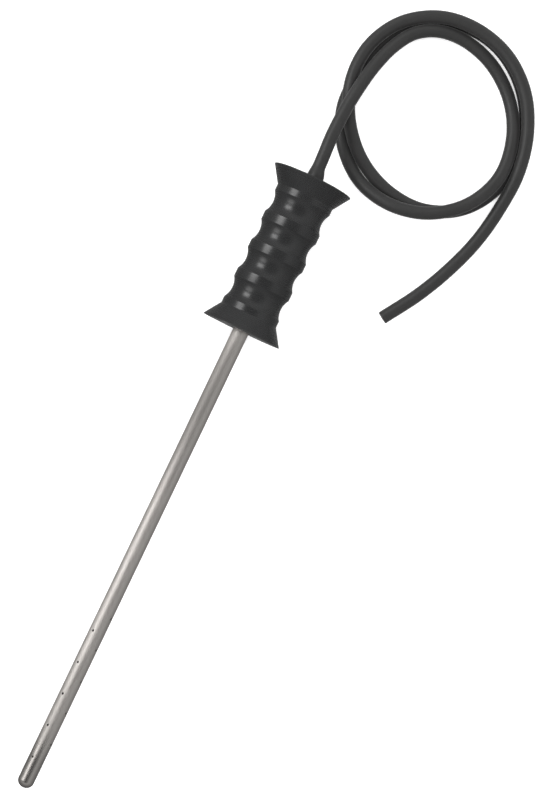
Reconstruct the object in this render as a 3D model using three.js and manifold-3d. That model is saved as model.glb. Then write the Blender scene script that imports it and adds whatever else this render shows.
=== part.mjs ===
// Grain sampling lance: drilled steel tube, spool-shaped grip and a loosely looped suction hose.
// Millimetres, +Z up. The lance lies along Y with its tip at -Y and its axis one flange radius above
// the ground, so that both flanges stand on z = 0. The hose leaves the top of the grip at +Y.
import * as THREE from 'three';
import { mergeVertices } from 'three/addons/utils/BufferGeometryUtils.js';
import Module from 'manifold-3d';

// ---- driving dimensions -------------------------------------------------------------------------

const FIT_GAP = 0.3; // left between pieces that touch

const TUBE_RADIUS = 6;
const TUBE_WALL = 1;
const PROBE_REACH = 363; // tip to the lower face of the grip
const TIP_LENGTH = 18; // solid tip in front of the tube
const TIP_DOME = 5.5; // height of the dome at its end
const TIP_SPIGOT = 4.5; // ends short of the first cross hole

const HOLE_RADIUS = 0.8;
const HOLE_FIRST = 24; // tip to the first cross hole
const HOLE_STEP = 12.5; // each hole is turned a quarter turn from the last
const HOLE_COUNT = 10;
const HOLE_TURN = THREE.MathUtils.degToRad(30); // first hole, from straight up towards -X

const FLANGE_RADIUS = 30;
const FLANGE_RIM = 0.4;
const LAND_RADIUS = 21.7;
const SCOOP_DEPTH = 2.45;
const SCOOP_COUNT = 4;
const CONE_LENGTH = 12.75; // flange rim to the first land
const END_LAND = 4.95;
const LAND = 6.4;
const SCOOP = 16.2;
const GRIP_BORE_RADIUS = TUBE_RADIUS + FIT_GAP;

const COLLAR_LENGTH = 4;
const COLLAR_RADIUS = 8.7;
const WASHER_THICKNESS = 1;
const HEAD_RADIUS = 9.4; // over the corners of the nipple's hexagon
const HEAD_LENGTH = 6.1;
const RECESS_CLEARANCE = 0.4; // around the collar and the hexagon

const NIPPLE_REACH = 11.6; // grip's upper face to the end of the nipple
const NIPPLE_SPIGOT = 14.6;
const NIPPLE_BORE_RADIUS = 2;
const NIPPLE_ROOT_RADIUS = 3.6;
const BARB_RADIUS = 4.4;
const BARB_START = 2; // grip's upper face to the barb's edge
const BARB_LAND = 1;
const NIPPLE_END_RADIUS = 3.1;

const FILTER_LENGTH = 24;
const FILTER_WALL = 1.7;

const HOSE_RADIUS = 4.8;
const HOSE_BORE_RADIUS = 3;
const HOSE_FLARE_RADIUS = 6.25; // where the hose is stretched over the barb
const HOSE_FLARE_LENGTH = 11.5;

const ROUND_FINE = 48; // facets around the grip
const ROUND = 36; // facets around the tube and the small turned pieces
const HOSE_ROUND = 10;
const HOSE_STEPS = 76;

// ---- places worked out from them ----------------------------------------------------------------

const GRIP_LENGTH = 2 * (CONE_LENGTH + END_LAND) + SCOOP_COUNT * SCOOP + (SCOOP_COUNT - 1) * LAND;
const TIP_Y = -(PROBE_REACH + GRIP_LENGTH + NIPPLE_REACH) / 2;
const GRIP_LOW_Y = TIP_Y + PROBE_REACH;
const GRIP_TOP_Y = GRIP_LOW_Y + GRIP_LENGTH;
const BORE_RADIUS = TUBE_RADIUS - TUBE_WALL;
const INNER_FIT_RADIUS = BORE_RADIUS - FIT_GAP; // pieces that sit inside the tube

const HEAD_TOP_Y = GRIP_TOP_Y - FIT_GAP;
const HEAD_LOW_Y = HEAD_TOP_Y - HEAD_LENGTH;
const SEAL_Y = HEAD_LOW_Y - FIT_GAP - WASHER_THICKNESS;
const TUBE_TOP_Y = SEAL_Y - FIT_GAP;
const COLLAR_Y = GRIP_LOW_Y + FIT_GAP;
const LOWER_WASHER_Y = COLLAR_Y + COLLAR_LENGTH + FIT_GAP;
const LOWER_RECESS_Y = LOWER_WASHER_Y + WASHER_THICKNESS + FIT_GAP;
const NIPPLE_LOW_Y = HEAD_LOW_Y - NIPPLE_SPIGOT;
const NIPPLE_END_Y = GRIP_TOP_Y + NIPPLE_REACH;

// The hose's centreline: out of the grip along the lance, down over its own turns, two and a half
// turns of about 135 mm across that rest on each other, then a free end along the ground.
const HOSE_ROUTE = [
  [0, GRIP_TOP_Y + FIT_GAP, FLANGE_RADIUS],
  [-0.6, 253, 29.6],
  [-1.6, 272, 28.2],
  [-1, 292, 26.5],
  [0.5, 308, 24.5],
  [4, 330, 19],
  [10.5, 350.5, 15.5],
  [20.1, 365.6, 14],
  [34.4, 374.8, 12],
  [55, 377.8, 8.4],
  [80, 371.2, 6],
  [103, 353.6, 6],
  [117.2, 328, 11.6],
  [120.6, 297.8, 15],
  [109, 271, 15],
  [85.6, 252.2, 15],
  [57.5, 246, 12.8],
  [30.3, 252.6, 6.2],
  [8.2, 271.2, 5],
  [-4.2, 297, 5],
  [-3.4, 325.4, 5],
  [3.5, 353.5, 5],
  [21.5, 376, 5],
  [48.5, 387.5, 5],
  [77.2, 385, 5],
  [101.8, 370.6, 5],
  [119.2, 347.8, 5],
  [125.5, 320, 5],
  [122.8, 290.6, 5],
  [106.6, 266.4, 5],
  [80.6, 253.8, 5],
  [51.4, 255.2, 5.2],
  [25.3, 266.9, 8.4],
  [5.2, 287.4, 14],
  [-6.4, 314, 15.2],
  [-6, 343, 14],
  [7.6, 368.4, 14],
  [31.8, 384.2, 15],
  [60, 387.6, 15],
  [88.4, 379.6, 15],
  [111.2, 360.8, 15],
  [125.4, 335, 15],
  [131.8, 306.8, 13.4],
  [131.1, 278.8, 7],
  [126.3, 250, 5],
  [117, 222.5, 5],
  [104.6, 196.2, 5],
  [88.2, 169.6, 5],
].map((p) => new THREE.Vector3(...p));

// ---- materials ----------------------------------------------------------------------------------

const finish = (color, roughness, metalness) =>
  new THREE.MeshStandardMaterial({ color, roughness, metalness });

const MATERIALS = {
  brightSteel: () => finish(0xb9b4ae, 0.35, 1),
  hardware: () => finish(0xa8a8a6, 0.4, 1),
  gripBlack: () => finish(0x2b2b2d, 0.5, 0),
  hoseRubber: () => finish(0x3a393a, 0.65, 0),
  sealRubber: () => finish(0x202020, 0.8, 0),
  sinteredBronze: () => finish(0x8a6a3c, 0.75, 1),
};

// ---- helpers ------------------------------------------------------------------------------------

const wasm = await Module();
wasm.setup();

function toManifold(geometry) {
  const bare = geometry.clone();
  bare.deleteAttribute('normal');
  bare.deleteAttribute('uv');
  const merged = mergeVertices(bare);
  return new wasm.Manifold(
    new wasm.Mesh({
      numProp: 3,
      vertProperties: new Float32Array(merged.attributes.position.array),
      triVerts: new Uint32Array(merged.index.array),
    }),
  );
}

function fromManifold(manifold) {
  const mesh = manifold.getMesh();
  const geometry = new THREE.BufferGeometry();
  geometry.setAttribute('position', new THREE.BufferAttribute(mesh.vertProperties, 3));
  geometry.setIndex(new THREE.BufferAttribute(mesh.triVerts, 1));
  geometry.computeVertexNormals();
  return geometry;
}

// Turns a profile of [radius, y] points about the lance axis, anticlockwise so that faces point out.
function turned(profile, round = ROUND) {
  return new THREE.LatheGeometry(profile.map(([r, y]) => new THREE.Vector2(r, y)), round);
}

// A ring with its lower face at y: the profile runs round the section and closes on itself.
function ring(inner, outer, y, length) {
  return turned([[inner, y], [outer, y], [outer, y + length], [inner, y + length], [inner, y]]);
}

// ---- lance --------------------------------------------------------------------------------------

function probeTip() {
  const dome = [];
  const domeSteps = 8;
  for (let i = 0; i <= domeSteps; i++) {
    const angle = (i / domeSteps) * (Math.PI / 2);
    dome.push([TUBE_RADIUS * Math.sin(angle), TIP_Y + TIP_DOME * (1 - Math.cos(angle))]);
  }
  const shoulderY = TIP_Y + TIP_LENGTH;
  return turned([
    ...dome,
    [TUBE_RADIUS, shoulderY],
    [INNER_FIT_RADIUS, shoulderY],
    [INNER_FIT_RADIUS, shoulderY + TIP_SPIGOT],
    [0, shoulderY + TIP_SPIGOT],
  ]);
}

function crossHole(index) {
  const drill = new THREE.CylinderGeometry(HOLE_RADIUS, HOLE_RADIUS, 3 * TUBE_RADIUS, 10);
  drill.rotateX(Math.PI / 2);
  drill.rotateY(-HOLE_TURN + (index * Math.PI) / 2);
  drill.translate(0, TIP_Y + HOLE_FIRST + index * HOLE_STEP, 0);
  return toManifold(drill);
}

function probeTube() {
  const startY = TIP_Y + TIP_LENGTH + FIT_GAP;
  let tube = toManifold(ring(BORE_RADIUS, TUBE_RADIUS, startY, TUBE_TOP_Y - startY));
  for (let i = 0; i < HOLE_COUNT; i++) {
    tube = tube.subtract(crossHole(i));
  }
  return fromManifold(tube);
}

// Points of one finger scoop: an arc that dips SCOOP_DEPTH below the lands over a length of SCOOP.
function scoopArc(startY) {
  const half = SCOOP / 2;
  const arcRadius = (half * half + SCOOP_DEPTH * SCOOP_DEPTH) / (2 * SCOOP_DEPTH);
  const steps = 6;
  const points = [];
  for (let i = 0; i <= steps; i++) {
    const along = -half + (i / steps) * SCOOP;
    const rise = arcRadius - Math.sqrt(arcRadius * arcRadius - along * along);
    points.push([LAND_RADIUS - SCOOP_DEPTH + rise, startY + half + along]);
  }
  return points;
}

function grip() {
  const lowerRecess = COLLAR_RADIUS + RECESS_CLEARANCE;
  const upperRecess = HEAD_RADIUS + RECESS_CLEARANCE;
  const outer = [
    [lowerRecess, GRIP_LOW_Y],
    [FLANGE_RADIUS, GRIP_LOW_Y],
    [FLANGE_RADIUS, GRIP_LOW_Y + FLANGE_RIM],
    [LAND_RADIUS, GRIP_LOW_Y + CONE_LENGTH],
  ];
  for (let i = 0; i < SCOOP_COUNT; i++) {
    outer.push(...scoopArc(GRIP_LOW_Y + CONE_LENGTH + END_LAND + i * (SCOOP + LAND)));
  }
  outer.push(
    [LAND_RADIUS, GRIP_TOP_Y - CONE_LENGTH],
    [FLANGE_RADIUS, GRIP_TOP_Y - FLANGE_RIM],
    [FLANGE_RADIUS, GRIP_TOP_Y],
    [upperRecess, GRIP_TOP_Y],
  );
  const bore = [
    [upperRecess, TUBE_TOP_Y],
    [GRIP_BORE_RADIUS, TUBE_TOP_Y],
    [GRIP_BORE_RADIUS, LOWER_RECESS_Y],
    [lowerRecess, LOWER_RECESS_Y],
    [lowerRecess, GRIP_LOW_Y],
  ];
  return turned([...outer, ...bore], ROUND_FINE);
}

const stopCollar = () => ring(GRIP_BORE_RADIUS, COLLAR_RADIUS, COLLAR_Y, COLLAR_LENGTH);
const lowerWasher = () => ring(GRIP_BORE_RADIUS, COLLAR_RADIUS, LOWER_WASHER_Y, WASHER_THICKNESS);
const upperWasher = () => ring(GRIP_BORE_RADIUS, HEAD_RADIUS, SEAL_Y, WASHER_THICKNESS);
const nippleSeal = () => ring(BORE_RADIUS, TUBE_RADIUS, SEAL_Y, WASHER_THICKNESS);

function hoseNipple() {
  const barbY = GRIP_TOP_Y + BARB_START;
  const body = turned([
    [NIPPLE_BORE_RADIUS, NIPPLE_LOW_Y],
    [INNER_FIT_RADIUS, NIPPLE_LOW_Y],
    [INNER_FIT_RADIUS, HEAD_TOP_Y - HEAD_LENGTH / 2],
    [NIPPLE_ROOT_RADIUS, HEAD_TOP_Y - HEAD_LENGTH / 2],
    [NIPPLE_ROOT_RADIUS, barbY],
    [BARB_RADIUS, barbY],
    [BARB_RADIUS, barbY + BARB_LAND],
    [NIPPLE_END_RADIUS, NIPPLE_END_Y],
    [NIPPLE_BORE_RADIUS, NIPPLE_END_Y],
    [NIPPLE_BORE_RADIUS, NIPPLE_LOW_Y],
  ]);
  const head = new THREE.CylinderGeometry(HEAD_RADIUS, HEAD_RADIUS, HEAD_LENGTH, 6);
  head.translate(0, HEAD_LOW_Y + HEAD_LENGTH / 2, 0);
  const bore = turned([
    [0, NIPPLE_LOW_Y],
    [NIPPLE_BORE_RADIUS, NIPPLE_LOW_Y],
    [NIPPLE_BORE_RADIUS, NIPPLE_END_Y],
    [0, NIPPLE_END_Y],
  ]);
  return fromManifold(toManifold(head).subtract(toManifold(bore)).add(toManifold(body)));
}

// A thimble with its closed end towards the tip.
function dustFilter() {
  const topY = NIPPLE_LOW_Y - FIT_GAP;
  const lowY = topY - FILTER_LENGTH;
  const inner = INNER_FIT_RADIUS - FILTER_WALL;
  return turned([
    [0, lowY],
    [INNER_FIT_RADIUS, lowY],
    [INNER_FIT_RADIUS, topY],
    [inner, topY],
    [inner, lowY + FILTER_WALL],
    [0, lowY + FILTER_WALL],
  ]);
}

// ---- hose ---------------------------------------------------------------------------------------

function extrudedAlongHose(radius, overrun) {
  const route = HOSE_ROUTE.map((p) => p.clone());
  const last = route.length - 1;
  route[0].y -= overrun;
  route[last].addScaledVector(route[last].clone().sub(route[last - 1]).normalize(), overrun);
  const section = new THREE.Shape();
  for (let i = 0; i < HOSE_ROUND; i++) {
    const angle = (i / HOSE_ROUND) * 2 * Math.PI;
    const corner = [radius * Math.cos(angle), radius * Math.sin(angle)];
    if (i === 0) {
      section.moveTo(...corner);
    } else {
      section.lineTo(...corner);
    }
  }
  const extrudePath = new THREE.CatmullRomCurve3(route);
  return new THREE.ExtrudeGeometry(section, { steps: HOSE_STEPS, extrudePath });
}

// The hose end on the nipple, in the hose's own frame: stretched outside, opened up inside.
function hoseEnd() {
  const endY = GRIP_TOP_Y + FIT_GAP;
  const barbY = GRIP_TOP_Y + BARB_START;
  const flare = turned([
    [0, endY],
    [HOSE_FLARE_RADIUS - FIT_GAP, endY],
    [HOSE_FLARE_RADIUS, barbY],
    [HOSE_FLARE_RADIUS, barbY + BARB_LAND],
    [HOSE_RADIUS, endY + HOSE_FLARE_LENGTH],
    [0, endY + HOSE_FLARE_LENGTH],
  ]);
  const room = turned([
    [0, endY - FIT_GAP],
    [BARB_RADIUS + FIT_GAP, endY - FIT_GAP],
    [BARB_RADIUS + FIT_GAP, barbY + BARB_LAND],
    [NIPPLE_END_RADIUS + FIT_GAP, NIPPLE_END_Y + FIT_GAP],
    [0, NIPPLE_END_Y + FIT_GAP],
  ]);
  flare.translate(0, 0, FLANGE_RADIUS);
  room.translate(0, 0, FLANGE_RADIUS);
  return { flare: toManifold(flare), room: toManifold(room) };
}

function hose() {
  const end = hoseEnd();
  const bore = toManifold(extrudedAlongHose(HOSE_BORE_RADIUS, 1));
  const outside = toManifold(extrudedAlongHose(HOSE_RADIUS, 0));
  return fromManifold(outside.add(end.flare).subtract(bore).subtract(end.room));
}

// ---- assembly -----------------------------------------------------------------------------------

function named(name, geometry, material) {
  const mesh = new THREE.Mesh(geometry, material());
  mesh.name = name;
  return mesh;
}

const lance = new THREE.Group();
lance.position.z = FLANGE_RADIUS;
lance.add(
  named('probe_tip', probeTip(), MATERIALS.brightSteel),
  named('probe_tube', probeTube(), MATERIALS.brightSteel),
  named('stop_collar', stopCollar(), MATERIALS.hardware),
  named('lower_washer', lowerWasher(), MATERIALS.hardware),
  named('grip', grip(), MATERIALS.gripBlack),
  named('upper_washer', upperWasher(), MATERIALS.hardware),
  named('nipple_seal', nippleSeal(), MATERIALS.sealRubber),
  named('hose_nipple', hoseNipple(), MATERIALS.hardware),
  named('dust_filter', dustFilter(), MATERIALS.sinteredBronze),
);

const samplingLance = new THREE.Group();
samplingLance.add(lance, named('hose', hose(), MATERIALS.hoseRubber));

export default samplingLance;
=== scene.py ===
"""Grain sampling lance: fine surfaces, materials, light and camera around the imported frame.

The lance lies along Y with its tip at -Y, as in the frame. Sizes are in millimetres where they are
named in capitals with _MM, and in metres everywhere else.
"""

import math

import bmesh
import bpy
import numpy as np
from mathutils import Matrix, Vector


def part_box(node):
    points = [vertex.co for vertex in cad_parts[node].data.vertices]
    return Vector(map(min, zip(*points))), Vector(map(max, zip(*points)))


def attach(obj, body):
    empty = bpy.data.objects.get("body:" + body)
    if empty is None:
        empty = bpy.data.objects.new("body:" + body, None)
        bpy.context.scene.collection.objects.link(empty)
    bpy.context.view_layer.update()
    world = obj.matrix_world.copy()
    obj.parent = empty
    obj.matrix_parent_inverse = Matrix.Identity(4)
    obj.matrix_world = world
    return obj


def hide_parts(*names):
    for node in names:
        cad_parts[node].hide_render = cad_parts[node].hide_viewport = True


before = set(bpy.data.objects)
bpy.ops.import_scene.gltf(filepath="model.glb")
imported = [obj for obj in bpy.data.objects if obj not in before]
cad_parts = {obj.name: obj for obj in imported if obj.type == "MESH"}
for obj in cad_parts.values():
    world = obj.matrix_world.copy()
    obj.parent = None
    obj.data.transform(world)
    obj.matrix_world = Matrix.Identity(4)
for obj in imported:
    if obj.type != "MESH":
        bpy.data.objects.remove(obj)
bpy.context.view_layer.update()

MM = 0.001

# ---- places from the frame ----------------------------------------------------------------------


def span(node):
    """Lowest and highest y of a turned node, and its largest radius."""
    low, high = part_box(node)
    return low[1], high[1], (high[0] - low[0]) / 2


TIP_Y, _, TUBE_RADIUS = span("probe_tip")
_, TUBE_TOP_Y, _ = span("probe_tube")
GRIP_LOW_Y, GRIP_TOP_Y, FLANGE_RADIUS = span("grip")
COLLAR_Y, COLLAR_TOP_Y, COLLAR_RADIUS = span("stop_collar")
LOWER_WASHER_Y, LOWER_WASHER_TOP_Y, _ = span("lower_washer")
UPPER_WASHER_Y, UPPER_WASHER_TOP_Y, _ = span("upper_washer")
FILTER_Y, FILTER_TOP_Y, FILTER_RADIUS = span("dust_filter")
NIPPLE_LOW_Y, NIPPLE_END_Y, _ = span("hose_nipple")
AXIS_Z = (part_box("grip")[0][2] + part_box("grip")[1][2]) / 2
HEAD_RADIUS = (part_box("hose_nipple")[1][2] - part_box("hose_nipple")[0][2]) / 2

# ---- sizes of the details -----------------------------------------------------------------------

TUBE_WALL_MM = 1.0
TIP_LENGTH_MM = 18.0
TIP_DOME_MM = 5.5
TIP_SHOULDER_MM = 0.4  # a first ring of the straight part, which keeps the dome's shading off it
TIP_CHAMFER_MM = 0.5
HOLE_RADIUS_MM = 0.8
HOLE_FIRST_MM = 24.0
HOLE_STEP_MM = 12.5
HOLE_COUNT = 10
HOLE_TURN_DEG = 30.0
HOLE_FLARE_MM = 0.08

LAND_RADIUS_MM = 21.7
SCOOP_DEPTH_MM = 2.45
SCOOP_COUNT = 4
CONE_MM = 12.75
END_LAND_MM = 4.95
LAND_MM = 6.4
SCOOP_MM = 16.2
RIM_MM = 0.4
RECESS_CLEARANCE_MM = 0.4
FIT_GAP_MM = 0.3  # as the CAD solids keep it
FILTER_WALL_MM = 1.7

NIPPLE_BORE_MM = 2.0
NIPPLE_ROOT_MM = 3.6
BARB_MM = 4.4
BARB_START_MM = 2.0
BARB_LAND_MM = 1.0
NIPPLE_END_MM = 3.1

HOSE_RADIUS_MM = 4.8
HOSE_BORE_MM = 3.0
HOSE_FLARE_MM = 6.25
HOSE_FLARE_LENGTH_MM = 11.5
HOSE_FLARE_LEAN_MM = 0.6  # the stretched end is this much fuller towards +X and slimmer towards -X

# The hose's centreline, as its CAD solid has it, in millimetres: it starts at the grip's upper face.
HOSE_ROUTE_MM = [
    (0, GRIP_TOP_Y / MM + FIT_GAP_MM, AXIS_Z / MM),
    (-0.6, 253, 29.6),
    (-1.6, 272, 28.2),
    (-1, 292, 26.5),
    (0.5, 308, 24.5),
    (4, 330, 19),
    (10.5, 350.5, 15.5),
    (20.1, 365.6, 14),
    (34.4, 374.8, 12),
    (55, 377.8, 8.4),
    (80, 371.2, 6),
    (103, 353.6, 6),
    (117.2, 328, 11.6),
    (120.6, 297.8, 15),
    (109, 271, 15),
    (85.6, 252.2, 15),
    (57.5, 246, 12.8),
    (30.3, 252.6, 6.2),
    (8.2, 271.2, 5),
    (-4.2, 297, 5),
    (-3.4, 325.4, 5),
    (3.5, 353.5, 5),
    (21.5, 376, 5),
    (48.5, 387.5, 5),
    (77.2, 385, 5),
    (101.8, 370.6, 5),
    (119.2, 347.8, 5),
    (125.5, 320, 5),
    (122.8, 290.6, 5),
    (106.6, 266.4, 5),
    (80.6, 253.8, 5),
    (51.4, 255.2, 5.2),
    (25.3, 266.9, 8.4),
    (5.2, 287.4, 14),
    (-6.4, 314, 15.2),
    (-6, 343, 14),
    (7.6, 368.4, 14),
    (31.8, 384.2, 15),
    (60, 387.6, 15),
    (88.4, 379.6, 15),
    (111.2, 360.8, 15),
    (125.4, 335, 15),
    (131.8, 306.8, 13.4),
    (131.1, 278.8, 7),
    (126.3, 250, 5),
    (117, 222.5, 5),
    (104.6, 196.2, 5),
    (88.2, 169.6, 5),
]

# ---- camera -------------------------------------------------------------------------------------

CAMERA_ROLL = math.radians(25.55)  # the lance leans this far from the upright of the picture
CAMERA_ABOVE_AXIS = 1.396
CAMERA_RIGHT_OF_AXIS = 0.0418
CAMERA_BELOW_GRIP = 0.035
CAMERA_LENS = 87.5


def add_camera():
    data = bpy.data.cameras.new("camera")
    data.lens = CAMERA_LENS
    data.clip_start = 0.05
    data.clip_end = 50
    camera = bpy.data.objects.new("camera", data)
    camera.location = (CAMERA_RIGHT_OF_AXIS, GRIP_LOW_Y - CAMERA_BELOW_GRIP, AXIS_Z + CAMERA_ABOVE_AXIS)
    camera.rotation_euler = (0, 0, CAMERA_ROLL)
    bpy.context.scene.collection.objects.link(camera)
    bpy.context.scene.camera = camera


# ---- node helpers -------------------------------------------------------------------------------


class Nodes:
    """A material's node tree, with short calls for the nodes used here."""

    def __init__(self, name):
        self.material = bpy.data.materials.new(name)
        self.material.use_nodes = True
        self.tree = self.material.node_tree
        self.shader = self.tree.nodes["Principled BSDF"]

    def set(self, **values):
        """Sets sockets of the shader: a number or colour that is the same all over."""
        for label, value in values.items():
            self.shader.inputs[label.replace("_", " ")].default_value = value

    def feed(self, label, output):
        self.tree.links.new(output, self.shader.inputs[label])

    def add(self, kind, inputs=None, **settings):
        node = self.tree.nodes.new(kind)
        for key, value in settings.items():
            setattr(node, key, value)
        for key, value in (inputs or {}).items():
            if isinstance(value, bpy.types.NodeSocket):
                self.tree.links.new(value, node.inputs[key])
            else:
                node.inputs[key].default_value = value
        return node

    def place(self):
        """The point in the row frame, in metres."""
        return self.add("ShaderNodeTexCoord").outputs["Object"]

    def attribute(self, name):
        return self.add("ShaderNodeAttribute", attribute_name=name).outputs["Vector"]

    def stretched(self, vector, scale):
        return self.add("ShaderNodeVectorMath", {0: vector, 1: scale}, operation="MULTIPLY").outputs[0]

    def noise(self, vector, scale, detail=3.0, roughness=0.5):
        inputs = {"Vector": vector, "Scale": scale, "Detail": detail, "Roughness": roughness}
        return self.add("ShaderNodeTexNoise", inputs).outputs["Fac"]

    def ramp(self, value, low, high, to_low=0.0, to_high=1.0):
        """Value from low..high mapped to to_low..to_high and held there outside."""
        inputs = {"Value": value, "From Min": low, "From Max": high, "To Min": to_low, "To Max": to_high}
        return self.add("ShaderNodeMapRange", inputs, clamp=True).outputs["Result"]

    def math(self, operation, a, b=0.0):
        return self.add("ShaderNodeMath", {0: a, 1: b}, operation=operation).outputs[0]

    def blend(self, factor, a, b):
        """Colour a where factor is 0 and b where it is 1."""
        node = self.add("ShaderNodeMix", data_type="RGBA")
        for key, value in ((0, factor), (6, a), (7, b)):
            if isinstance(value, bpy.types.NodeSocket):
                self.tree.links.new(value, node.inputs[key])
            else:
                node.inputs[key].default_value = value
        return node.outputs[2]

    def bump(self, height, distance, strength=1.0, onto=None):
        inputs = {"Height": height, "Distance": distance, "Strength": strength}
        if onto is not None:
            inputs["Normal"] = onto
        return self.add("ShaderNodeBump", inputs).outputs["Normal"]


def grey(value, warm=0.0):
    """A near-neutral colour, a little warmer for a positive second number."""
    return (value * (1 + warm), value, value * (1 - warm), 1.0)


# ---- materials ----------------------------------------------------------------------------------


def probe_steel():
    """Satin stainless: fine drawing lines along the tube, smoother towards the tip, where its colour is
    darkened as painted shade.
    """
    n = Nodes("probe_steel")
    place = n.place()
    y = n.add("ShaderNodeSeparateXYZ", {0: place}).outputs["Y"]
    polish_and_painted_shade = n.ramp(y, TIP_Y + 0.022, TIP_Y + 0.048, 1.0, 0.0)
    lines = n.noise(n.stretched(place, (9000, 60, 9000)), 1.0, 3.0, 0.6)
    clouds = n.noise(n.stretched(place, (180, 30, 180)), 1.0, 2.0)
    satin = n.math("ADD", n.ramp(lines, 0.3, 0.7, 0.3, 0.36), n.ramp(clouds, 0.3, 0.7, -0.02, 0.02))
    roughness = n.add("ShaderNodeMix", {0: polish_and_painted_shade, 2: satin, 3: 0.19}).outputs[0]
    tone = n.blend(n.ramp(clouds, 0.35, 0.65), grey(0.58, 0.05), grey(0.63, 0.05))
    n.set(Metallic=1.0, Anisotropic=1.0)
    n.feed("Tangent", n.add("ShaderNodeTangent", direction_type="RADIAL", axis="Y").outputs[0])
    # Near the tip the colour blends to a darker grey: painted shade, standing in for a darker reflection
    # there.
    n.feed("Base Color", n.blend(polish_and_painted_shade, tone, grey(0.44, 0.05)))
    n.feed("Roughness", roughness)
    n.feed("Normal", n.bump(lines, 2e-6, 0.5))
    return n.material


def hardware_steel():
    """Turned stainless fittings, with rings of tool marks around the lance axis."""
    n = Nodes("hardware_steel")
    place = n.place()
    marks = n.noise(n.stretched(place, (300, 14000, 300)), 1.0, 2.0, 0.6)
    n.set(Metallic=1.0)
    n.feed("Base Color", n.blend(n.ramp(marks, 0.3, 0.7), grey(0.52, 0.01), grey(0.62, 0.01)))
    n.feed("Roughness", n.ramp(marks, 0.3, 0.7, 0.26, 0.4))
    n.feed("Normal", n.bump(marks, 3e-6, 0.5))
    return n.material


def grip_plastic():
    """Black turned plastic: faint rings from the lathe, fine grain, and the flange rims made paler by a
    painted reflection.
    """
    n = Nodes("grip_plastic")
    place = n.place()
    from_axis = n.add("ShaderNodeVectorMath", {0: place, 1: (0, 0, AXIS_Z)}, operation="SUBTRACT")
    across = n.stretched(from_axis.outputs[0], (1, 0, 1))
    radius = n.add("ShaderNodeVectorMath", {0: across}, operation="LENGTH").outputs["Value"]
    rings = n.noise(n.stretched(place, (40, 5200, 40)), 1.0, 2.0, 0.6)
    grain = n.noise(place, 2600, 3.0, 0.6)
    dust = n.ramp(n.noise(place, 900, 4.0, 0.75), 0.62, 0.8)
    # Paler colour at the flange rims: a painted reflection of the bright surroundings at grazing angles.
    rim_painted_reflection = n.ramp(radius, FLANGE_RADIUS - 0.0006, FLANGE_RADIUS, 0.0, 0.25)
    black = n.blend(n.ramp(n.noise(place, 60, 2.0), 0.3, 0.7), grey(0.0105, -0.02), grey(0.0145, -0.02))
    dusty = n.blend(n.math("MULTIPLY", dust, 0.25), black, grey(0.06))
    n.feed("Base Color", n.blend(rim_painted_reflection, dusty, grey(0.045)))
    smoothness = n.ramp(rings, 0.3, 0.7, 0.24, 0.29)
    n.feed("Roughness", n.math("ADD", smoothness, n.ramp(grain, 0.3, 0.7, -0.03, 0.03)))
    n.feed("Normal", n.bump(grain, 6e-6, 0.5, n.bump(rings, 8e-6, 0.4)))
    return n.material


def hose_rubber():
    """Matt black rubber: extrusion lines along the hose, fine grain and a pale bloom in patches."""
    n = Nodes("hose_rubber")
    lay = n.attribute("lay")
    place = n.place()
    lines = n.noise(n.stretched(lay, (26, 26, 24)), 1.0, 3.0, 0.6)
    grain = n.noise(place, 3200, 3.0, 0.65)
    bloom = n.ramp(n.noise(place, 70, 4.0, 0.6), 0.4, 0.75, 0.0, 0.5)
    specks = n.ramp(n.noise(place, 1300, 2.0, 0.6), 0.66, 0.78, 0.0, 0.3)
    black = n.blend(n.ramp(lines, 0.35, 0.65), grey(0.0155, 0.01), grey(0.0195, 0.01))
    bloomed = n.blend(bloom, black, grey(0.024, 0.01))
    n.set(Sheen_Weight=0.12, Sheen_Roughness=0.45)
    n.feed("Base Color", n.blend(specks, bloomed, grey(0.06)))
    smoothness = n.ramp(lines, 0.3, 0.7, 0.46, 0.54)
    n.feed("Roughness", n.math("ADD", smoothness, n.ramp(grain, 0.3, 0.7, -0.03, 0.03)))
    n.feed("Normal", n.bump(grain, 1.2e-5, 0.5, n.bump(lines, 1.5e-5, 0.4)))
    return n.material


def seal_rubber():
    n = Nodes("seal_rubber")
    grain = n.noise(n.place(), 2400, 3.0, 0.6)
    n.feed("Base Color", n.blend(grain, grey(0.012), grey(0.028)))
    n.feed("Roughness", n.ramp(grain, 0.3, 0.7, 0.65, 0.8))
    n.feed("Normal", n.bump(grain, 1e-5, 0.6))
    return n.material


def sintered_bronze():
    """Small bronze grains fused together, with painted shade making it dark in the pores between them.
    """
    n = Nodes("sintered_bronze")
    grains = n.add("ShaderNodeTexVoronoi", {"Vector": n.place(), "Scale": 2600.0})
    pores = n.ramp(grains.outputs["Distance"], 0.25, 0.75)
    n.set(Metallic=1.0)
    # The pores take a dark colour: painted shade in the hollows between the grains.
    n.feed("Base Color", n.blend(pores, (0.42, 0.27, 0.12, 1), (0.07, 0.045, 0.022, 1)))
    n.feed("Roughness", n.ramp(pores, 0.0, 1.0, 0.4, 0.8))
    n.feed("Normal", n.bump(pores, -1e-4, 0.8))
    return n.material


def floor_white():
    n = Nodes("floor_white")
    n.set(Roughness=0.9, Specular_IOR_Level=0.0, Emission_Color=grey(1.0), Emission_Strength=0.4)
    mottle = n.noise(n.place(), 4.0, 2.0)
    n.feed("Base Color", n.blend(mottle, grey(0.87), grey(0.89)))
    return n.material


# ---- mesh helpers -------------------------------------------------------------------------------

SHARP = math.radians(28)


def mesh_object(name, vertices, faces, material):
    """A smooth-shaded object whose edges stay crisp where its faces meet at more than SHARP."""
    mesh = bpy.data.meshes.new(name)
    mesh.from_pydata([tuple(v) for v in vertices], [], faces)
    mesh.materials.append(material)
    finish_mesh(mesh)
    piece = bpy.data.objects.new(name, mesh)
    bpy.context.scene.collection.objects.link(piece)
    return piece


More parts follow.
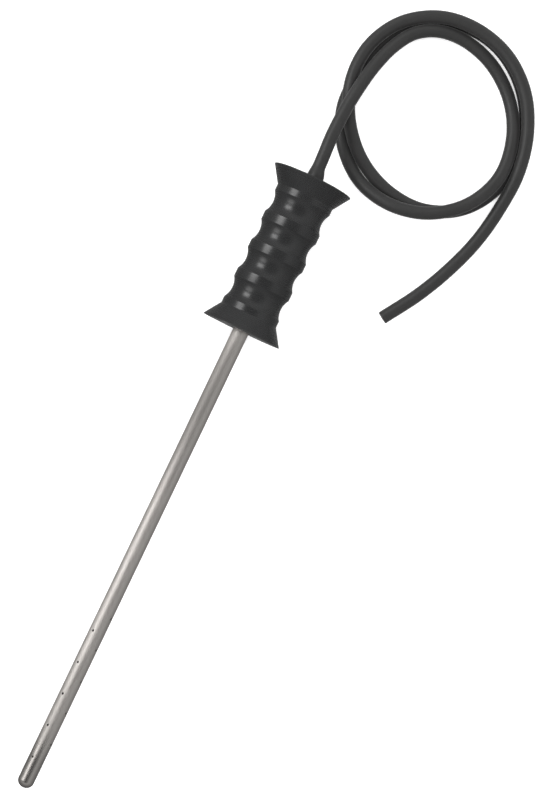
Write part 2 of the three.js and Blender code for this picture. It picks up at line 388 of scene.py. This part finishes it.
def finish_mesh(mesh):
    work = bmesh.new()
    work.from_mesh(mesh)
    bmesh.ops.recalc_face_normals(work, faces=work.faces)
    for face in work.faces:
        face.smooth = True
    for edge in work.edges:
        edge.smooth = edge.calc_face_angle(0.0) < SHARP
    work.to_mesh(mesh)
    work.free()


def rounded(outline, steps=4):
    """Closed outline of (x, y, radius) corners, in one unit: each corner with a radius is rounded."""
    points = []
    for i, (x, y, radius) in enumerate(outline):
        here = Vector((x, y))
        before = Vector(outline[i - 1][:2]) - here
        after = Vector(outline[(i + 1) % len(outline)][:2]) - here
        if radius == 0:
            points.append(here)
            continue
        half = before.angle(after) / 2
        reach = min(radius / math.tan(half), 0.45 * before.length, 0.45 * after.length)
        start = here + before.normalized() * reach
        end = here + after.normalized() * reach
        for k in range(steps + 1):
            t = k / steps
            points.append(start * (1 - t) ** 2 + here * 2 * t * (1 - t) + end * t * t)
    return points


def turned(name, outline, material, around=128):
    """Turns a closed outline of (radius, y) points, in metres, about the lance axis."""
    vertices = []
    rings = []
    for radius, y in outline:
        if radius < 1e-7:
            rings.append([len(vertices)])
            vertices.append((0, y, AXIS_Z))
            continue
        rings.append(list(range(len(vertices), len(vertices) + around)))
        for k in range(around):
            angle = 2 * math.pi * k / around
            vertices.append((radius * math.sin(angle), y, AXIS_Z + radius * math.cos(angle)))
    faces = []
    for i, low in enumerate(rings):
        high = rings[(i + 1) % len(rings)]
        if len(low) == 1 and len(high) == 1:
            continue
        for k in range(around):
            corners = [low[k % len(low)], low[(k + 1) % len(low)]]
            corners += [high[(k + 1) % len(high)], high[k % len(high)]]
            faces.append(tuple(dict.fromkeys(corners)))
    return mesh_object(name, vertices, faces, material)


def combine(piece, tool, operation):
    """Cuts the tool from the piece, or joins it on, and removes the tool."""
    modifier = piece.modifiers.new("combine", "BOOLEAN")
    modifier.operation = operation
    modifier.object = tool
    modifier.solver = "EXACT"
    graph = bpy.context.evaluated_depsgraph_get()
    made = bpy.data.meshes.new_from_object(piece.evaluated_get(graph))
    piece.modifiers.clear()
    piece.data = made
    bpy.data.objects.remove(tool)
    finish_mesh(piece.data)


def ring_outline(inner, outer, low, high, edge):
    """Section of a ring whose four edges are broken by a small radius."""
    corners = [(inner, low), (outer, low), (outer, high), (inner, high)]
    return rounded([(r, y, edge) for r, y in corners])


def stands_for(piece, node):
    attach(piece, "root")
    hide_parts(node)
    return piece


# ---- lance --------------------------------------------------------------------------------------

SEAM = 0.01 * MM  # left between pieces that touch, so that no faces lie in each other
INNER_RADIUS = TUBE_RADIUS - TUBE_WALL_MM * MM


def make_tip(steel):
    dome = []
    steps = 24
    for k in range(steps + 1):
        angle = k / steps * math.pi / 2
        dome.append((TUBE_RADIUS * math.sin(angle), TIP_Y + TIP_DOME_MM * MM * (1 - math.cos(angle))))
    shoulder = TIP_Y + TIP_LENGTH_MM * MM
    spigot_radius = INNER_RADIUS - SEAM
    spigot_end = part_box("probe_tip")[1][1]
    outline = dome + [
        (TUBE_RADIUS, TIP_Y + (TIP_DOME_MM + TIP_SHOULDER_MM) * MM),
        (TUBE_RADIUS, shoulder),
        (spigot_radius, shoulder),
        (spigot_radius, spigot_end - TIP_CHAMFER_MM * MM),
        (spigot_radius - TIP_CHAMFER_MM * MM, spigot_end),
        (0, spigot_end),
    ]
    return turned("rounded_tip", outline, steel)


def drill(index, steel):
    """A drill of the size of one cross hole, flared where it breaks the tube's surface."""
    radius = HOLE_RADIUS_MM * MM
    flare = HOLE_FLARE_MM * MM
    surface = TUBE_RADIUS - 0.05 * MM
    end = 1.6 * TUBE_RADIUS
    outline = [(0, -end), (radius + flare, -end), (radius + flare, -surface), (radius, -surface + flare)]
    outline += [(r, -t) for r, t in reversed(outline)]
    tool = turned(f"drill_{index}", outline, steel, 32)
    angle = math.radians(-HOLE_TURN_DEG + 90 * index)
    towards = Vector((math.sin(angle), 0, math.cos(angle)))
    turn = Vector((0, 1, 0)).rotation_difference(towards)
    centre = Vector((0, 0, AXIS_Z))
    along = Vector((0, TIP_Y + (HOLE_FIRST_MM + index * HOLE_STEP_MM) * MM, 0))
    for vertex in tool.data.vertices:
        vertex.co = turn @ (vertex.co - centre) + centre + along
    return tool


def set_round_normals(piece, radii):
    """Shades faces on the tube's inner and outer cylinder as a true cylinder, whatever cuts them."""
    mesh = piece.data
    normals = np.array([tuple(c.vector) for c in mesh.corner_normals])
    for face in mesh.polygons:
        for corner in face.loop_indices:
            point = mesh.vertices[mesh.loops[corner].vertex_index].co
            out = Vector((point.x, 0, point.z - AXIS_Z))
            lies_on = any(abs(out.length - radius) < 0.02 * MM for radius in radii)
            if lies_on and abs(face.normal.dot(out.normalized())) > 0.98:
                normals[corner] = out.normalized() * math.copysign(1, face.normal.dot(out))
    mesh.normals_split_custom_set(normals.tolist())


def make_tube(steel):
    start = TIP_Y + TIP_LENGTH_MM * MM + SEAM
    outline = ring_outline(INNER_RADIUS, TUBE_RADIUS, start, TUBE_TOP_Y, 0.02 * MM)
    tube = turned("drilled_tube", outline, steel)
    for index in range(HOLE_COUNT):
        combine(tube, drill(index, steel), "DIFFERENCE")
    set_round_normals(tube, (INNER_RADIUS, TUBE_RADIUS))
    return tube


def scoop(start):
    """Section of one finger scoop, in millimetres, between its two edges with the lands."""
    half = SCOOP_MM / 2
    arc_radius = (half**2 + SCOOP_DEPTH_MM**2) / (2 * SCOOP_DEPTH_MM)
    bottom = LAND_RADIUS_MM - SCOOP_DEPTH_MM
    steps = 20
    points = []
    for k in range(steps + 1):
        along = -half + k / steps * SCOOP_MM
        radius = bottom + arc_radius - math.sqrt(arc_radius**2 - along**2)
        edge = 0.5 if k in (0, steps) else 0
        points.append((radius, start + half + along, edge))
    return points


def make_grip(plastic):
    low = GRIP_LOW_Y / MM
    top = GRIP_TOP_Y / MM
    rim = FLANGE_RADIUS / MM
    bore = TUBE_RADIUS / MM + 0.02
    lower_recess = COLLAR_RADIUS / MM + RECESS_CLEARANCE_MM
    lower_floor = LOWER_WASHER_TOP_Y / MM + 0.05
    upper_recess = HEAD_RADIUS / MM + RECESS_CLEARANCE_MM
    upper_floor = UPPER_WASHER_Y / MM - 0.05
    outline = [
        (lower_recess, low, 0.4),
        (rim, low, 0.12),
        (rim, low + RIM_MM, 0.2),
        (LAND_RADIUS_MM, low + CONE_MM, 0.6),
    ]
    for k in range(SCOOP_COUNT):
        outline += scoop(low + CONE_MM + END_LAND_MM + k * (SCOOP_MM + LAND_MM))
    outline += [
        (LAND_RADIUS_MM, top - CONE_MM, 0.6),
        (rim, top - RIM_MM, 0.2),
        (rim, top, 0.12),
        (upper_recess, top, 0.4),
        (upper_recess, upper_floor, 0.3),
        (bore, upper_floor, 0.2),
        (bore, lower_floor, 0.2),
        (lower_recess, lower_floor, 0.3),
    ]
    return turned("spool_grip", [(r * MM, y * MM) for r, y in rounded(outline)], plastic, 192)


def make_nipple(steel):
    """Hexagon head, spigot and barbed stem in one piece, bored through."""
    head_top = GRIP_TOP_Y - FIT_GAP_MM * MM
    head_low = UPPER_WASHER_TOP_Y + SEAM
    barb = (GRIP_TOP_Y + BARB_START_MM * MM) / MM
    spigot = (INNER_RADIUS - SEAM) / MM
    outline = [
        (NIPPLE_BORE_MM, NIPPLE_LOW_Y / MM, 0.2),
        (spigot, NIPPLE_LOW_Y / MM, 0.4),
        (spigot, head_low / MM + 1, 0),
        (NIPPLE_ROOT_MM, head_low / MM + 1, 0),
        (NIPPLE_ROOT_MM, barb, 0.1),
        (BARB_MM, barb, 0.1),
        (BARB_MM, barb + BARB_LAND_MM, 0.2),
        (NIPPLE_END_MM, NIPPLE_END_Y / MM, 0.2),
        (NIPPLE_BORE_MM, NIPPLE_END_Y / MM, 0.2),
    ]
    body = turned("hose_nipple_body", [(r * MM, y * MM) for r, y in rounded(outline)], steel, 96)
    corner = HEAD_RADIUS
    chamfer = 0.07 * corner
    bore = NIPPLE_BORE_MM * MM
    head_outline = ring_outline(bore, corner, head_low, head_top, 0)
    head = turned("hose_nipple_head", head_outline, steel, 6)
    cone_outline = [
        (0, head_low - MM),
        (corner - chamfer - MM / 4, head_low - MM),
        (corner + MM, head_low + MM),
        (corner + MM, head_top - chamfer),
        (corner - chamfer, head_top + 0.2 * chamfer),
        (0, head_top + MM),
    ]
    combine(head, turned("head_cone", cone_outline, steel, 96), "INTERSECT")
    combine(body, head, "UNION")
    return body


# ---- hose ---------------------------------------------------------------------------------------

HOSE_SPACING = 1.6 * MM
HOSE_LIP_MM = 0.35  # how far the stretched end is rounded off
HOSE_LIP_LENGTH_MM = 1.2


def through_points(points, per_span=24):
    """Centripetal Catmull-Rom curve through the points, the curve that the CAD solid follows."""
    points = np.array(points, float)
    padded = np.vstack([2 * points[0] - points[1], points, 2 * points[-1] - points[-2]])
    curve = []
    for i in range(len(points) - 1):
        p = padded[i : i + 4]
        knots = np.concatenate([[0], np.cumsum(np.linalg.norm(np.diff(p, axis=0), axis=1) ** 0.5)])
        for t in np.linspace(knots[1], knots[2], per_span, endpoint=False):
            level = list(p)
            for depth in (1, 2):
                shares = (t - knots[: 4 - depth]) / (knots[depth:] - knots[: 4 - depth])
                level = [a * (1 - share) + b * share for a, b, share in zip(level, level[1:], shares)]
            weight = (t - knots[1]) / (knots[2] - knots[1])
            curve.append(level[0] * (1 - weight) + level[1] * weight)
    curve.append(points[-1])
    return np.array(curve)


def evenly(curve, spacing):
    lengths = np.concatenate([[0], np.cumsum(np.linalg.norm(np.diff(curve, axis=0), axis=1))])
    count = int(round(lengths[-1] / spacing)) + 1
    at = np.linspace(0, lengths[-1], count)
    return np.stack([np.interp(at, lengths, curve[:, k]) for k in range(3)], axis=1)


def relaxed(line, passes, keep_start):
    """Evens out the bends without shrinking the turns; the stretch on the nipple stays straight."""
    line = line.copy()
    for _ in range(passes):
        for step in (0.5, -0.51):
            middle = (line[:-2] + line[2:]) / 2
            line[1 + keep_start : -1] += step * (middle - line[1:-1])[keep_start:]
    return line


def frames_along(line):
    """Tangent and a side vector at each point, carried along without twist."""
    tangents = np.gradient(line, axis=0)
    tangents /= np.linalg.norm(tangents, axis=1)[:, None]
    sides = [np.array([1.0, 0.0, 0.0])]
    for tangent in tangents[1:]:
        side = sides[-1] - tangent * sides[-1].dot(tangent)
        sides.append(side / np.linalg.norm(side))
    return tangents, np.array(sides)


def hose_radii(along, lean):
    """Outer radii for each value of lean, and the inner radius, at a distance along the hose.

    The hose is wider where it sits on the barb, fuller where lean is 1 and slimmer where it is -1.
    """
    flare_end = HOSE_FLARE_LENGTH_MM * MM
    barb = (BARB_START_MM + BARB_LAND_MM) * MM
    outer = HOSE_RADIUS_MM * MM
    inner = HOSE_BORE_MM * MM
    if along >= flare_end:
        return np.full_like(lean, outer), inner
    swell = 1.0
    if along > barb:
        swell = 0.5 + 0.5 * math.cos(math.pi * (along - barb) / (flare_end - barb))
    lip = HOSE_LIP_MM * MM * max(0.0, 1 - along / (HOSE_LIP_LENGTH_MM * MM)) ** 2
    flare = HOSE_FLARE_MM * MM - outer + HOSE_FLARE_LEAN_MM * MM * lean
    outer_here = outer + flare * swell - lip
    inner_here = inner + ((BARB_MM + 0.05) * MM - inner) * swell
    return outer_here, inner_here


def make_hose(rubber):
    """A hollow tube swept along the route, open at the cut end; returns the piece and its line."""
    curve = through_points(np.array(HOSE_ROUTE_MM) * MM)
    line = relaxed(evenly(curve, HOSE_SPACING), 60, 8)
    tangents, sides = frames_along(line)
    binormals = np.cross(tangents, sides)
    along = np.concatenate([[0], np.cumsum(np.linalg.norm(np.diff(line, axis=0), axis=1))])
    around = 40
    angles = 2 * np.pi * np.arange(around) / around
    spokes = np.stack([np.cos(angles), np.sin(angles)])
    outer = []
    inner = []
    for k, point in enumerate(line):
        directions = spokes[0][:, None] * sides[k] + spokes[1][:, None] * binormals[k]
        outer_radii, inner_radius = hose_radii(along[k], spokes[0])
        outer.append(point + directions * outer_radii[:, None])
        inner.append(point + directions * inner_radius)
    rings = outer + inner[::-1]
    vertices = np.concatenate(rings)
    faces = []
    for i in range(len(rings)):
        low = i * around
        high = (i + 1) % len(rings) * around
        for k in range(around):
            after = (k + 1) % around
            faces.append((low + k, low + after, high + after, high + k))
    hose = mesh_object("suction_hose", vertices, faces, rubber)
    lay = hose.data.attributes.new("lay", "FLOAT_VECTOR", "POINT")
    turns = np.tile(spokes, len(rings))
    places = np.repeat(np.concatenate([along, along[::-1]]), around)
    lay.data.foreach_set("vector", np.vstack([turns, places]).T.ravel())
    return hose, line


def add_hose(rubber):
    hose, line = make_hose(rubber)
    stands_for(hose, "hose")


# ---- studio -------------------------------------------------------------------------------------

KEY_DISTANCE = 1.2
KEY_TILT = math.radians(44.5)  # from straight up, towards -X
KEY_WIDTH = 0.58
KEYS = [  # low y, high y, radiance, fitted to how the tone changes along the lance
    (-0.58, -0.38, 1.65),
    (-0.38, -0.05, 2.85),
    (-0.05, 0.178, 0.2),
    (0.178, 0.6, 5.8),
]

FLOOR_REACH = 6.0
COVE_RADIUS = 2.5
COVE_MARGIN = 0.5  # the wall stands this far inside the floor's edge
COVE_LIFT = 0.001  # keeps the cove's foot off the floor
WALL_HEIGHT = 6.0


def add_floor(white):
    reach = FLOOR_REACH
    corners = [(-reach, -reach, 0), (reach, -reach, 0), (reach, reach, 0), (-reach, reach, 0)]
    floor = mesh_object("floor", corners, [(0, 1, 2, 3)], white)
    floor.visible_glossy = False


def add_backdrop(white):
    """A round wall with a cove at its foot, only there to be seen: it takes and gives no light."""
    start = FLOOR_REACH - COVE_RADIUS - COVE_MARGIN
    steps = 12
    section = []
    for k in range(steps + 1):
        angle = k / steps * math.pi / 2
        rise = COVE_LIFT + COVE_RADIUS * (1 - math.cos(angle))
        section.append((start + COVE_RADIUS * math.sin(angle), rise))
    section.append((section[-1][0], WALL_HEIGHT))
    around = 96
    vertices = []
    for radius, z in section:
        for k in range(around):
            angle = 2 * math.pi * k / around
            vertices.append((radius * math.cos(angle), radius * math.sin(angle), z))
    faces = []
    for low in range(0, (len(section) - 1) * around, around):
        for k in range(around):
            after = (k + 1) % around
            faces.append((low + k, low + after, low + around + after, low + around + k))
    backdrop = mesh_object("backdrop", vertices, faces, white)
    backdrop.visible_glossy = False
    backdrop.visible_diffuse = False
    backdrop.visible_transmission = False
    backdrop.visible_shadow = False


def add_softbox(name, place, aim, length, width, radiance):
    data = bpy.data.lights.new(name, "AREA")
    data.shape = "RECTANGLE"
    data.size = length
    data.size_y = width
    data.energy = radiance * math.pi * length * width
    light = bpy.data.objects.new(name, data)
    light.location = place
    light.rotation_euler = (Vector(aim) - Vector(place)).to_track_quat("-Z", "Y").to_euler()
    bpy.context.scene.collection.objects.link(light)
    return light


def add_keys():
    """A row of softboxes along the lance, up on its left."""
    x = -KEY_DISTANCE * math.sin(KEY_TILT)
    z = AXIS_Z + KEY_DISTANCE * math.cos(KEY_TILT)
    for index, (low_y, high_y, radiance) in enumerate(KEYS):
        y = (low_y + high_y) / 2
        add_softbox(f"key_{index}", (x, y, z), (0, y, AXIS_Z), high_y - low_y, KEY_WIDTH, radiance)


def add_world():
    """A pale tent, darker overhead, below the horizon and towards the tip."""
    world = bpy.data.worlds.new("studio")
    bpy.context.scene.world = world
    world.use_nodes = True
    tree = world.node_tree
    direction = tree.nodes.new("ShaderNodeTexCoord").outputs["Generated"]
    split = tree.nodes.new("ShaderNodeSeparateXYZ")
    tree.links.new(direction, split.inputs[0])
    ramp = tree.nodes.new("ShaderNodeValToRGB")
    ramp.color_ramp.interpolation = "EASE"
    stops = ramp.color_ramp.elements
    for height, radiance in ((-0.35, 0.25), (0.1, 0.4), (0.72, 0.66), (0.98, 0.13)):
        stop = stops.new((height + 1) / 2)
        stop.color = grey(radiance)
    stops.remove(stops[0])
    stops.remove(stops[-1])
    shift = tree.nodes.new("ShaderNodeMath")
    shift.operation = "MULTIPLY_ADD"
    shift.inputs[1].default_value = 0.5
    shift.inputs[2].default_value = 0.5
    tree.links.new(split.outputs["Z"], shift.inputs[0])
    tree.links.new(shift.outputs[0], ramp.inputs["Fac"])
    lean = tree.nodes.new("ShaderNodeMath")
    lean.operation = "MULTIPLY_ADD"
    lean.inputs[1].default_value = 0.35
    lean.inputs[2].default_value = 1.0
    tree.links.new(split.outputs["Y"], lean.inputs[0])
    background = tree.nodes["Background"]
    tree.links.new(ramp.outputs["Color"], background.inputs["Color"])
    tree.links.new(lean.outputs[0], background.inputs["Strength"])


def add_lights():
    add_keys()
    fill = add_softbox("fill", (0.1, 0.05, 2.2), (0.1, 0.05, 0), 1.6, 1.6, 6.5)
    fill.visible_glossy = False
    add_world()


def set_view():
    view = bpy.context.scene.view_settings
    view.view_transform = "Standard"
    view.look = "None"
    view.exposure = 0.0


# ---- the object ---------------------------------------------------------------------------------


def add_lance():
    steel = probe_steel()
    hardware = hardware_steel()
    stands_for(make_tip(steel), "probe_tip")
    stands_for(make_tube(steel), "probe_tube")
    stands_for(make_grip(grip_plastic()), "grip")
    stands_for(make_nipple(hardware), "hose_nipple")
    bore = TUBE_RADIUS + SEAM
    fittings = [
        ("stop_collar", COLLAR_Y, COLLAR_TOP_Y, COLLAR_RADIUS, 0.4),
        ("lower_washer", LOWER_WASHER_Y, LOWER_WASHER_TOP_Y, COLLAR_RADIUS, 0.15),
        ("upper_washer", UPPER_WASHER_Y, UPPER_WASHER_TOP_Y, HEAD_RADIUS, 0.15),
    ]
    for node, low, high, radius, edge in fittings:
        piece = turned(f"{node}_turned", ring_outline(bore, radius, low, high, edge * MM), hardware)
        stands_for(piece, node)
    seal_outline = ring_outline(INNER_RADIUS, TUBE_RADIUS, UPPER_WASHER_Y, UPPER_WASHER_TOP_Y, 0.2 * MM)
    stands_for(turned("nipple_seal_ring", seal_outline, seal_rubber()), "nipple_seal")
    make_filter(sintered_bronze())


def make_filter(bronze):
    wall = FILTER_WALL_MM
    low = FILTER_Y / MM
    high = FILTER_TOP_Y / MM
    outer = FILTER_RADIUS / MM
    outline = [
        (0, low, 0),
        (outer, low, 0.6),
        (outer, high, 0.2),
        (outer - wall, high, 0.2),
        (outer - wall, low + wall, 0.4),
        (0, low + wall, 0),
    ]
    piece = turned("dust_filter_thimble", [(r * MM, y * MM) for r, y in rounded(outline)], bronze, 64)
    stands_for(piece, "dust_filter")


add_camera()
add_hose(hose_rubber())
add_lance()
white = floor_white()
add_floor(white)
add_backdrop(white)
add_lights()
set_view()
